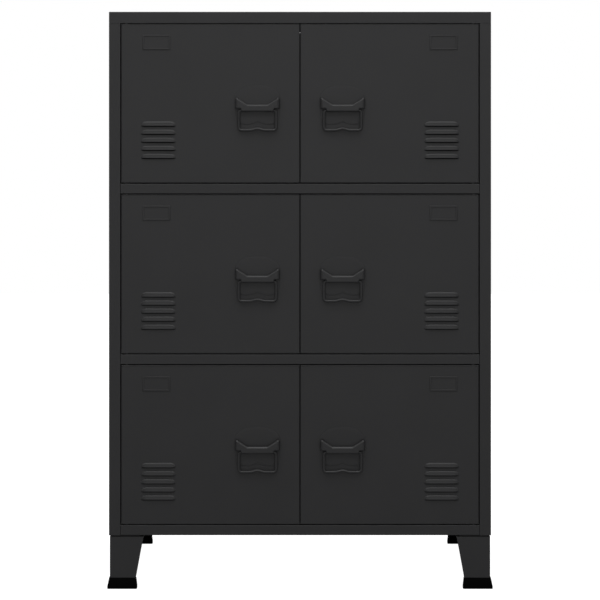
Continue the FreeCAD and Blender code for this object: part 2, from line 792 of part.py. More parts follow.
def handle_bow(name, base):
    """Raised strap with wing tips, standing on two feet on the backplate."""
    body = new_body(name, base)
    half = "handle_width / 2"
    foot = "front_y - plate_thickness"
    plan = new_sketch(body, "XY_Plane", "handle_z - bow_band")
    right = [
        (f"{half} - bow_foot", foot),
        (f"{half} - bow_foot", f"{foot} - bow_sheet"),
        (f"{half} - bow_sheet", f"{foot} - bow_sheet"),
        (f"{half} - bow_sheet", "bow_front_y + bow_sheet"),
    ]
    outside = [(half, "bow_front_y"), (half, foot)]
    inner = [(f"-handle_offset - ({x})", y) for x, y in right]
    inner += [(f"-handle_offset + {x}", y) for x, y in reversed(right)]
    outer = [(f"-handle_offset + {x}", y) for x, y in reversed(outside)]
    outer += [(f"-handle_offset - {x}", y) for x, y in outside]
    polygon(plan, inner + outer)
    pad(body, plan, "bow_band + bow_tip")
    bends = [
        upright_at(f"-handle_offset + {side} * {half}", "bow_front_y") for side in (-1, 1)
    ]
    round_edges(body, "bow_radius", any_of(bends))
    bends = [
        upright_at(f"-handle_offset + {side} * ({half} - bow_sheet)", "bow_front_y + bow_sheet")
        for side in (-1, 1)
    ]
    round_edges(body, "bow_radius - bow_sheet", any_of(bends))
    trim = new_sketch(body, "XZ_Plane", minus("front_y"))
    rectangle(trim, f"-handle_offset - {half} - 5", f"-handle_offset + {half} + 5",
              "handle_z - bow_band - 5", "handle_z + bow_tip + 5")
    side_points = [
        (half, "bow_tip"), (half, "-bow_wing"), ("bow_notch + 1", "-bow_wing"),
        ("bow_notch", "-bow_band"),
    ]
    outline = [(f"-handle_offset + {x}", f"handle_z + {z}") for x, z in side_points]
    outline += [(f"-handle_offset - ({x})", f"handle_z + {z}") for x, z in reversed(side_points)]
    outline += [("-handle_offset - bow_flat", "handle_z"), ("-handle_offset + bow_flat", "handle_z")]
    polygon(trim, outline)
    pocket(body, trim, "3 * handle_reach")
    screws = [(f"-handle_offset + {side} * handle_screw_x", "handle_screw_z") for side in (-1, 1)]
    depth = "2 * (plate_thickness + bow_sheet) + 1"
    drill(body, "XZ_Plane", minus("front_y"), screws, "screw_radius + running_fit", depth)
    return body


def bail(name, base):
    """Closed ring of bent round wire, hanging from its top bar in the plate's knuckles."""
    radius = value("bail_corner")
    half, low, wave = value("bail_half_span"), value("bail_foot - pivot_drop"), value("bail_wave")
    reach = value("bail_wave_reach")
    centre = Vector(value("-handle_offset"), value("pivot_y"), value("pivot_z"))

    def at(across, down):
        return centre + Vector(across, 0, -down)

    def corner(side, down, inward):
        """The middle of a rounded corner whose square corner is at (side * half, down)."""
        bulge = radius * (1 - 0.5 ** 0.5)
        return at(side * (half - bulge), down + inward * bulge)

    start, end = (reach, low), (reach / 2, low - wave / 2)
    middle = wave_middle(start, end)
    edges = [
        Part.LineSegment(at(0, 0), at(half - radius, 0)),
        Part.Arc(at(half - radius, 0), corner(1, 0, 1), at(half, radius)),
        Part.LineSegment(at(half, radius), at(half, low - radius)),
        Part.Arc(at(half, low - radius), corner(1, low, -1), at(half - radius, low)),
        Part.LineSegment(at(half - radius, low), at(reach, low)),
        Part.Arc(at(*start), at(*middle), at(*end)),
        Part.Arc(at(*end), at(0, low - wave), at(-end[0], end[1])),
        Part.Arc(at(-end[0], end[1]), at(-middle[0], middle[1]), at(-reach, low)),
        Part.LineSegment(at(-reach, low), at(radius - half, low)),
        Part.Arc(at(radius - half, low), corner(-1, low, -1), at(-half, low - radius)),
        Part.LineSegment(at(-half, low - radius), at(-half, radius)),
        Part.Arc(at(-half, radius), corner(-1, 0, 1), at(radius - half, 0)),
        Part.LineSegment(at(radius - half, 0), at(0, 0)),
    ]
    path = Part.Wire([edge.toShape() for edge in edges])
    section = Part.Wire([Part.Circle(at(0, 0), Vector(1, 0, 0), value("bail_wire")).toShape()])
    feature = DOC.addObject("Part::Feature", name)
    feature.Label = name
    feature.Shape = path.makePipeShell([section], True, True)
    feature.setExpression("Placement.Base.z", linked(base))
    return feature


def wave_middle(start, end):
    """The middle of the arc that leaves the straight bar at `start` and turns up to `end`."""
    run, rise = start[0] - end[0], start[1] - end[1]
    radius = (run ** 2 + rise ** 2) / (2 * rise)
    half_turn = math.atan2(rise, run)
    return start[0] - radius * math.sin(half_turn), start[1] - radius * (1 - math.cos(half_turn))


def door_pieces(row):
    """Every piece of one row's left door, then the images of them for the right door."""
    base = f"{row}_base"
    pieces = [
        door_panel(f"{row}_left_door_panel", base),
        card_holder(f"{row}_left_card_holder", base),
        handle_plate(f"{row}_left_handle_plate", base),
        handle_bow(f"{row}_left_handle_bow", base),
        bail(f"{row}_left_bail", base),
        handle_screws(f"{row}_left_handle_screws", base),
    ]
    images = [mirrored(piece, piece.Name.replace("_left_", "_right_"), Vector(1, 0, 0))
              for piece in pieces]
    return pieces + images


def handle_screws(name, base):
    """Two screws from inside the door, through its skin, the backplate and the bow's feet."""
    height = value(f"{base} + handle_screw_z")
    spots = [((value(f"-handle_offset + {side} * handle_screw_x"), value("front_y + sheet"), height),
              (0, 1, 0)) for side in (-1, 1)]
    return copies(name, HANDLE_SCREW, spots)


# ---------------------------------------------------------------- fixings

def screw_outline(length, radius, head, head_height):
    """Half section of a pan-head screw: its head stands on z = 0, its shank points down."""
    return [
        ("0", minus(length)),
        (radius, minus(length)),
        (radius, "0"),
        (head, "0"),
        (head, f"{head_height} * {HEAD_EDGE}"),
        (f"{head} * {HEAD_CROWN}", head_height),
        ("0", head_height),
    ]


def hinge_levels():
    """Each pin's sheet level in the frame, and +1 where the door is above it, -1 where below."""
    for row in ROWS:
        yield value(f"{row}_base - door_gap"), 1
        yield value(f"{row}_base + door_height + door_gap"), -1


def hinge_spots():
    """Where each hinge pin and washer stands, with the direction towards its door."""
    for level, towards_door in hinge_levels():
        for side in (-1, 1):
            point = (side * value("-hinge_x"), value("hinge_y"), level)
            yield point, (0, 0, towards_door)


def lid_screw_spots():
    """Screws up through the side panels' top flanges into the lid's lips."""
    height = value("leg_height + side_height - sheet")
    for side in (-1, 1):
        for deep in LID_SCREW_DEPTHS:
            yield (side * value("half_width - edge_flange / 2"), value(deep), height), (0, 0, -1)


def back_screw_spots():
    """Screws from behind: round the side flanges, then into each shelf's rear flange."""
    for side in (-1, 1):
        for height in BACK_SCREW_HEIGHTS:
            across = side * value("half_width - edge_flange / 2")
            yield (across, value("back_y"), value(height)), (0, 1, 0)
    for across in REAR_SCREW_PLACES:
        for top in SHELF_TOPS:
            height = value(f"{top} - edge_flange / 2")
            yield (value(across), value("back_y - sheet"), height), (0, 1, 0)


def catch_spots():
    """The underside of each lip above a door, at the middle of its catch's front face."""
    for row in ROWS:
        level = value(f"{row}_base + door_height + door_gap")
        for side in (-1, 1):
            yield side * value("catch_x"), value("catch_y"), level


def catch_group():
    """Catch housings, their magnets and their screws, as three groups."""
    width, depth, height = value("catch_width"), value("catch_depth"), value("catch_height")
    magnet = [value(f"magnet_{size}") for size in ("width", "depth", "height")]
    screw_deep = value("catch_screw_y - catch_y")
    housings, magnets, screws = [], [], []
    for x, y, level in catch_spots():
        block = Part.makeBox(width, depth, height, Vector(x - width / 2, y, level - height))
        low = level - (height + magnet[2]) / 2
        bar = Part.makeBox(*magnet, Vector(x - magnet[0] / 2, y, low))
        hole = Part.makeCylinder(value("screw_radius + running_fit"), height,
                                 Vector(x, y + screw_deep, level - height))
        housings.append(block.cut(bar).cut(hole))
        magnets.append(bar)
        screws.append(((x, y + screw_deep, level - height), (0, 0, -1)))
    group("magnetic_catches", housings)
    group("catch_magnets", magnets)
    copies("catch_screws", CATCH_SCREW, screws)


def group(name, shapes):
    """One node of identical separate solids."""
    feature = DOC.addObject("Part::Feature", name)
    feature.Label = name
    feature.Shape = Part.makeCompound(shapes)
    return feature


def leg_fixings():
    """Threaded corner plates inside the base, and the bolts that hold the legs to them."""
    thickness, inset = value("pad_plate"), value("2 * sheet + 2 * seam")
    start_x, start_y = value("-half_width") + inset, value("wing_front_y")
    middle = value("(front_y + back_y) / 2")
    end_x, end_y = value("-half_width + base_flange"), value("front_y + base_flange")
    level = value("leg_height + sheet")
    plate = Part.makeBox(end_x - start_x, end_y - start_y, thickness, Vector(start_x, start_y, level))
    bolts = []
    for across, deep in LEG_BOLTS:
        spot = Vector(value(across), value(deep), level)
        plate = plate.cut(Part.makeCylinder(value("bolt_radius + running_fit"), thickness, spot))
        bolts.append(spot)
    plates, spots = [], []
    for mirror_x in (False, True):
        for mirror_y in (False, True):
            shape = plate
            shape = shape.mirror(Vector(0, 0, 0), Vector(1, 0, 0)) if mirror_x else shape
            shape = shape.mirror(Vector(0, middle, 0), Vector(0, 1, 0)) if mirror_y else shape
            plates.append(shape)
            for spot in bolts:
                x = -spot.x if mirror_x else spot.x
                y = 2 * middle - spot.y if mirror_y else spot.y
                spots.append(((x, y, value("leg_top - leg_sheet")), (0, 0, -1)))
    group("leg_mounting_plates", plates)
    copies("leg_bolts", LEG_BOLT, spots)


def side_plug():
    """Snap-in blanking plug: a low disc outside the right side panel and a stem in its hole."""
    plug = turned_master("plug_master", [
        ("0", "-2 * sheet - 2"),
        ("plug_radius - 2 - running_fit", "-2 * sheet - 2"),
        ("plug_radius - 2 - running_fit", "0"),
        ("plug_radius", "0"),
        ("plug_radius - plug_round", "plug_dome"),
        ("0", "plug_dome"),
    ])
    spot = (value("half_width"), value("front_y + plug_setback"), value("plug_height"))
    return copies("side_plug", plug, [(spot, (1, 0, 0))])


# ---------------------------------------------------------------- build and write

def check(exported):
    """Stop if any object failed or any piece is not a valid solid."""
    for item in DOC.Objects:
        assert not {"Invalid", "Error"} & set(item.State), f"{item.Label}: {item.State}"
    for piece in exported:
        shape = piece.Shape
        assert not shape.isNull() and shape.isValid() and shape.Solids, f"{piece.Label} is not sound"
    print(len(exported), "pieces, overall", whole_box(exported))


def whole_box(exported):
    """The box round every piece, in millimetres."""
    box = FreeCAD.BoundBox()
    for piece in exported:
        box.add(piece.Shape.BoundBox)
    corners = (box.XMin, box.XMax, box.YMin, box.YMax, box.ZMin, box.ZMax)
    return [round(corner, 2) for corner in corners]


def build():
    """Make every piece and return the ones that are written out."""
    left = side_panel()
    frame = [left, right_side_panel(left), top_panel(), bottom_panel()]
    frame.append(shelf("lower_shelf", SHELF_TOPS[1], "rail_height", "edge_flange"))
    frame.append(shelf("upper_shelf", SHELF_TOPS[2], "rail_height", "edge_flange"))
    frame.append(back_panel())
    frame += four_corners(leg(), "leg")
    frame += four_corners(foot_cap(), "foot_cap")
    doors = [piece for row in ROWS for piece in door_pieces(row)]
    leg_fixings()
    catch_group()
    side_plug()
    copies("hinge_pins", HINGE_PIN, hinge_spots())
    copies("hinge_washers", HINGE_WASHER, hinge_spots())
    copies("panel_screws", PANEL_SCREW, list(lid_screw_spots()) + list(back_screw_spots()))
    DOC.recompute()
    groups = ("leg_mounting_plates", "leg_bolts", "magnetic_catches", "catch_magnets",
              "catch_screws", "side_plug", "hinge_pins", "hinge_washers", "panel_screws")
    return frame + doors + [DOC.getObject(name) for name in groups]


DOC = FreeCAD.newDocument("cabinet")
SHEET = number_sheet(DOC)
place_sheet(DOC)

# where a pan head starts to round and where its flat crown ends, as shares of its height and radius
HEAD_EDGE = 0.5
HEAD_CROWN = 0.72
SHELF_TOPS = (
    "leg_height + bottom_rail",
    "leg_height + bottom_rail + row_pitch",
    "leg_height + bottom_rail + 2 * row_pitch",
)
LID_SCREW_DEPTHS = ("front_y + bolt_far", "(front_y + back_y) / 2", "back_y - bolt_far")
BACK_SCREW_HEIGHTS = tuple(f"leg_height + side_height * {share}" for share in (0.05, 0.29, 0.5, 0.74, 0.95))
REAR_SCREW_PLACES = ("-half_width * 0.75", "0", "half_width * 0.75")
LEG_BOLTS = (
    ("-half_width + bolt_near", "front_y + bolt_far"),
    ("-half_width + bolt_far", "front_y + bolt_near"),
)

PANEL_SCREW = turned_master("panel_screw_master", screw_outline(
    "screw_length", "screw_radius", "screw_head", "screw_head_height"))
HANDLE_SCREW = turned_master("handle_screw_master", screw_outline(
    "sheet + plate_thickness + bow_sheet", "screw_radius", "screw_head", "screw_head_height"))
CATCH_SCREW = turned_master("catch_screw_master", screw_outline(
    "catch_height + 3", "screw_radius", "screw_head", "1.5"))
LEG_BOLT = turned_master("leg_bolt_master", screw_outline(
    "leg_sheet + leg_seat + sheet + pad_plate + 3", "bolt_radius", "bolt_radius * 2", "4"))
HINGE_PIN = turned_master("hinge_pin_master", [
    ("0", "-3"),
    ("pin_radius", "-3"),
    ("pin_radius", "door_gap + sheet + pin_reach - 1"),
    ("pin_radius - 0.8", "door_gap + sheet + pin_reach"),
    ("0", "door_gap + sheet + pin_reach"),
])
HINGE_WASHER = turned_master("hinge_washer_master", [
    ("pin_radius + running_fit", "0"),
    ("washer_radius", "0"),
    ("washer_radius", "door_gap - washer_slack"),
    ("pin_radius + running_fit", "door_gap - washer_slack"),
])

PIECES = build()
check(PIECES)
os.makedirs("parts", exist_ok=True)
for PIECE in PIECES:
    PIECE.Shape.exportStep(f"parts/{PIECE.Label}.step")
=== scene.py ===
"""Looks of a black powder-coated sheet-steel cabinet with six hinged doors and drop-bail handles."""

import json
import logging
import math
from dataclasses import dataclass, field
from enum import Enum

import bmesh
import bpy
import numpy as np
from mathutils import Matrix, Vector


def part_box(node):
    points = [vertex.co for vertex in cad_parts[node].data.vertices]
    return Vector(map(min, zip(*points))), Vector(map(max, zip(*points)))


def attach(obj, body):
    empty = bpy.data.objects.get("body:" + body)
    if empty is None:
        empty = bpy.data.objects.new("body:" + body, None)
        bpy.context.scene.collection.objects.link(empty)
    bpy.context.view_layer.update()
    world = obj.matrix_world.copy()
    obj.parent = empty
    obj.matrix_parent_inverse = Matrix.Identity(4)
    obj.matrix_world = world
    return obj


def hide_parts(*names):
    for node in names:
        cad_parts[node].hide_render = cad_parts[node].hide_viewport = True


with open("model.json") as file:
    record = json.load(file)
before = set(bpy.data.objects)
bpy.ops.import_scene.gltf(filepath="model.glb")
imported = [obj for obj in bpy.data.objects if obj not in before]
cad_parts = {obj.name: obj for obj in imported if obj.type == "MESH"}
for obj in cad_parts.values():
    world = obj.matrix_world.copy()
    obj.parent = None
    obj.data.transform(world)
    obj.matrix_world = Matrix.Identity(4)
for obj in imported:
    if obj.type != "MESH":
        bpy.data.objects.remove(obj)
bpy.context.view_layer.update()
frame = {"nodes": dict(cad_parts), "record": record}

LOG = logging.getLogger("cabinet")
MM = 0.001
MERGE_DISTANCE = 2e-6
SLIVER = 1e-7
NEAR = 1e-6


# ---------------------------------------------------------------- shapes from numpy

class Surface:
    """Points in metres and the faces between them, gathered patch by patch."""

    def __init__(self) -> None:
        """Start with no points and no faces."""
        self.points: list[np.ndarray] = []
        self.quads: list[np.ndarray] = []
        self.count = 0

    def add(self, grid: np.ndarray, wrap: bool = False, keep: np.ndarray | None = None) -> None:
        """Add a grid of points and the quads between neighbouring rows and columns.

        Args:
            grid: points in millimetres, rows x columns x 3.
            wrap: close the last column onto the first.
            keep: which quads to keep, rows - 1 x columns - 1; the others are openings.
        """
        rows, columns = grid.shape[:2]
        index = np.arange(rows * columns).reshape(rows, columns) + self.count
        if wrap:
            index = np.concatenate([index, index[:, :1]], axis=1)
        quads = np.stack([index[:-1, :-1], index[:-1, 1:], index[1:, 1:], index[1:, :-1]], axis=-1)
        quads = quads[keep] if keep is not None else quads.reshape(-1, 4)
        self.points.append(grid.reshape(-1, 3) * MM)
        self.quads.append(quads)
        self.count += rows * columns

    def mirrored(self) -> "Surface":
        """The same surface seen in a mirror on the plane between left and right."""
        image = Surface()
        image.points = [points * (-1.0, 1.0, 1.0) for points in self.points]
        image.quads = [quads[:, ::-1] for quads in self.quads]
        image.count = self.count
        return image

    def piece(self, name: str, facing: tuple[float, float, float] | None = None,
              crease: float = 35.0) -> bpy.types.Object:
        """Make the surface an object, with shared seams, outward faces and creased folds.

        Args:
            name: the object's name.
            facing: the side an open shell faces; a closed one is turned by its volume.
            crease: the angle in degrees above which an edge stays sharp.

        Returns:
            The object, at the origin, with its place in its mesh.
        """
        points, quads = np.concatenate(self.points), np.concatenate(self.quads)
        mesh = bpy.data.meshes.new(name)
        mesh.from_pydata(points.tolist(), [], quads.tolist())
        work = bmesh.new()
        work.from_mesh(mesh)
        bmesh.ops.remove_doubles(work, verts=work.verts, dist=MERGE_DISTANCE)
        bmesh.ops.dissolve_degenerate(work, edges=work.edges, dist=SLIVER)
        if facing is None:
            outward = work.calc_volume(signed=True) > 0
        else:
            total = sum((face.normal * face.calc_area() for face in work.faces), start=Vector())
            outward = total.dot(facing) > 0
        if not outward:
            bmesh.ops.reverse_faces(work, faces=work.faces)
        work.to_mesh(mesh)
        work.free()
        mesh.polygons.foreach_set("use_smooth", np.ones(len(mesh.polygons), dtype=bool))
        mesh.set_sharp_from_angle(angle=math.radians(crease))
        thing = bpy.data.objects.new(name, mesh)
        bpy.context.scene.collection.objects.link(thing)
        return thing


def thicken(thing: bpy.types.Object, thickness: float) -> None:
    """Give a shell its sheet's thickness in millimetres, inward from its face."""
    wall = thing.modifiers.new("sheet", "SOLIDIFY")
    wall.thickness = thickness * MM
    wall.offset = -1.0


def smooth_step(value: np.ndarray) -> np.ndarray:
    """0 below 0, 1 above 1, and an even S between."""
    part = np.clip(value, 0.0, 1.0)
    return part * part * (3.0 - 2.0 * part)


def rounded_path(corners: list[tuple[float, float]], radii: list[float],
                 steps: int = 8, closed: bool = False) -> np.ndarray:
    """A plane path of straight runs with each corner rounded by an arc.

    Each arc is the part of a circle of the corner's radius that touches both runs.

    Args:
        corners: the path's corners.
        radii: each corner's radius; an open path's two ends have 0.
        steps: points along each arc.
        closed: whether the path returns to its start.

    Returns:
        Points x 2.
    """
    spots = np.array(corners, dtype=float)
    before = np.roll(spots, 1, axis=0)
    after = np.roll(spots, -1, axis=0)
    parts = []
    for spot, back, ahead, radius, number in zip(spots, before, after, radii, range(len(spots))):
        is_end = not closed and number in (0, len(spots) - 1)
        if is_end or radius <= 0:
            parts.append(spot[None, :])
            continue
        start = (back - spot) / np.linalg.norm(back - spot)
        end = (ahead - spot) / np.linalg.norm(ahead - spot)
        half = math.acos(float(np.clip(start @ end, -1, 1))) / 2
        middle = spot + (start + end) / np.linalg.norm(start + end) * radius / math.sin(half)
        arm = spot + start * radius / math.tan(half) - middle
        other = spot + end * radius / math.tan(half) - middle
        turn = math.atan2(arm[0] * other[1] - arm[1] * other[0], arm @ other)
        angle = np.linspace(0.0, turn, steps + 1)[:, None]
        side = np.array([-arm[1], arm[0]])
        parts.append(middle + np.cos(angle) * arm + np.sin(angle) * side)
    return np.concatenate(parts)


def subdivided(path: np.ndarray, step: float) -> np.ndarray:
    """The same open path with no run longer than `step`."""
    runs = np.linalg.norm(np.diff(path, axis=0), axis=1)
    counts = np.maximum(np.ceil(runs / step).astype(int), 1)
    along = np.concatenate([[0.0], np.cumsum(runs)])
    stops = np.concatenate([np.linspace(a, b, n, endpoint=False)
                            for a, b, n in zip(along[:-1], along[1:], counts)] + [along[-1:]])
    return np.stack([np.interp(stops, along, path[:, k]) for k in range(path.shape[1])], axis=1)


# ---------------------------------------------------------------- finishes

def linear(code: str) -> tuple[float, float, float, float]:
    """An sRGB hex colour as the linear colour a shader takes."""
    channels = np.array([int(code[k:k + 2], 16) for k in (1, 3, 5)]) / 255
    light = np.where(channels <= 0.04045, channels / 12.92, ((channels + 0.055) / 1.055) ** 2.4)
    return (*light.tolist(), 1.0)


def add_node(tree: bpy.types.NodeTree, kind: str, settings: dict | None = None,
             links: dict | None = None) -> bpy.types.Node:
    """Add one node, with its settings and what feeds its inputs.

    Args:
        tree: the material's or world's nodes.
        kind: the node's type name.
        settings: properties by name, or input values by socket name.
        links: output sockets by the input they feed.

    Returns:
        The new node.
    """
    node = tree.nodes.new(kind)
    for name, value in (settings or {}).items():
        if hasattr(node, name):
            setattr(node, name, value)
        else:
            node.inputs[name].default_value = value
    for name, output in (links or {}).items():
        tree.links.new(output, node.inputs[name])
    return node


@dataclass(frozen=True)
class Finish:
    """What every finish has: a name, a light and a dark shade, and how rough it is."""

    name: str
    shade: str
    deep: str
    roughness: float
    metallic: float = 0.0
    ior: float = 1.5
    specular: float = 0.5
    grain_mm: float = 1.0
    relief_mm: float = 0.01
    mottle_mm: float = 60.0
    rough_swing: float = 0.05
    stretch: tuple[float, float, float] = (1.0, 1.0, 1.0)

    def material(self) -> bpy.types.Material:
        """Build the finish from noise at two real scales: its grain and its broad mottle.

        Returns:
            The material.
        """
        made = bpy.data.materials.new(self.name)
        made.use_nodes = True
        tree = made.node_tree
        tree.nodes.clear()
        place = add_node(tree, "ShaderNodeTexCoord")
        spread = add_node(tree, "ShaderNodeMapping", {"Scale": self.stretch},
                          {"Vector": place.outputs["Object"]})
        grain = add_node(tree, "ShaderNodeTexNoise",
                         {"Scale": 1 / (self.grain_mm * MM), "Detail": 2.0, "Roughness": 0.55},
                         {"Vector": spread.outputs["Vector"]})
        mottle = add_node(tree, "ShaderNodeTexNoise",
                          {"Scale": 1 / (self.mottle_mm * MM), "Detail": 3.0, "Roughness": 0.5},
                          {"Vector": spread.outputs["Vector"]})
        blend = add_node(tree, "ShaderNodeMapRange", {"From Min": 0.3, "From Max": 0.7},
                         {"Value": mottle.outputs["Fac"]})
        colour = add_node(tree, "ShaderNodeMix", {"data_type": "RGBA"}, {"Factor": blend.outputs["Result"]})
        colour.inputs[6].default_value = linear(self.deep)
        colour.inputs[7].default_value = linear(self.shade)
        rough = add_node(tree, "ShaderNodeMapRange", {
            "From Min": 0.3, "From Max": 0.7,
            "To Min": self.roughness - self.rough_swing, "To Max": self.roughness + self.rough_swing,
        }, {"Value": grain.outputs["Fac"]})
        relief = add_node(tree, "ShaderNodeBump", {"Strength": 1.0, "Distance": self.relief_mm * MM},
                          {"Height": grain.outputs["Fac"]})
        shader = add_node(tree, "ShaderNodeBsdfPrincipled",
                          {"Metallic": self.metallic, "IOR": self.ior, "Specular IOR Level": self.specular},
                          {"Base Color": colour.outputs[2], "Roughness": rough.outputs["Result"],
                           "Normal": relief.outputs["Normal"]})
        add_node(tree, "ShaderNodeOutputMaterial", None, {"Surface": shader.outputs["BSDF"]})
        return made


# Polyester powder coat, sprayed dry and baked: a satin black film with a fine orange peel, whose
# 1 to 2 mm waves break up reflections without showing as texture.
POWDER_COAT = Finish("black powder-coated steel", "#232324", "#212122", 0.47, specular=0.38,
                     grain_mm=1.6, relief_mm=0.012, mottle_mm=90, rough_swing=0.03)
# The same film on the small pressed and bent parts, where it flows smoother over tight curves.
HANDLE_COAT = Finish("black powder-coated handle steel", "#232324", "#212122", 0.45, specular=0.38,
                     grain_mm=1.2, relief_mm=0.008, mottle_mm=30, rough_swing=0.03)
# Injection-moulded polypropylene: deeper black than the coat, dull, with a fine spark-eroded grain.
FOOT_PLASTIC = Finish("moulded black polypropylene", "#030303", "#020202", 0.7, ior=1.49, specular=0.03,
                      grain_mm=0.6, relief_mm=0.02, mottle_mm=25, rough_swing=0.05)
# Bright zinc plate on turned and rolled screws and pins: pale, slightly brushed metal.
ZINC_PLATE = Finish("bright zinc-plated steel", "#c9cacc", "#b5b7ba", 0.32, metallic=1.0,
                    grain_mm=0.5, relief_mm=0.004, mottle_mm=6, rough_swing=0.08)
# Black polyamide washers, stamped from sheet: near black and waxy, so none shows in a door's gap.
NYLON = Finish("black nylon", "#141414", "#0f0f10", 0.42, ior=1.53, specular=0.4,
               grain_mm=0.8, relief_mm=0.01, mottle_mm=8)
# Pressed and sintered ferrite: charcoal grey, ceramic, faintly granular.
FERRITE = Finish("sintered ferrite", "#3c3b3c", "#2f2e2f", 0.55, ior=1.8, specular=0.5,
                 grain_mm=0.4, relief_mm=0.02, mottle_mm=5)


class Slot(Enum):
    """The record's material slots, each with the finish it shows."""

    COAT = ("black_powder_coat", POWDER_COAT)
    HANDLE = ("black_powder_coat", HANDLE_COAT)
    PLASTIC = ("black_plastic", FOOT_PLASTIC)
    ZINC = ("zinc_plated_steel", ZINC_PLATE)
    NYLON = ("nylon", NYLON)
    FERRITE = ("ferrite", FERRITE)

    def dress(self, thing: bpy.types.Object) -> None:
        """Put the slot's finish on every surface of a piece."""
        finish = self.value[1]
        made = bpy.data.materials.get(finish.name) or finish.material()
        thing.data.materials.clear()
        thing.data.materials.append(made)


def place(thing: bpy.types.Object, body: str, slot: Slot, nodes: list[str]) -> bpy.types.Object:
    """Dress a piece in its slot's finish, hang it on its body and let it stand for its CAD nodes.

    Args:
        thing: the piece.
        body: the CAD body it moves with.
        slot: its material slot.
        nodes: the CAD nodes it stands for.

    Returns:
        The piece.
    """
    slot.dress(thing)
    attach(thing, body)
    if nodes:
        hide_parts(*nodes)
    LOG.info("%s: %d faces, on %s", thing.name, len(thing.data.polygons), body)
    return thing


# ---------------------------------------------------------------- the doors

class Side(Enum):
    """Which of a row's two doors it is."""

    LEFT = "left"
    RIGHT = "right"


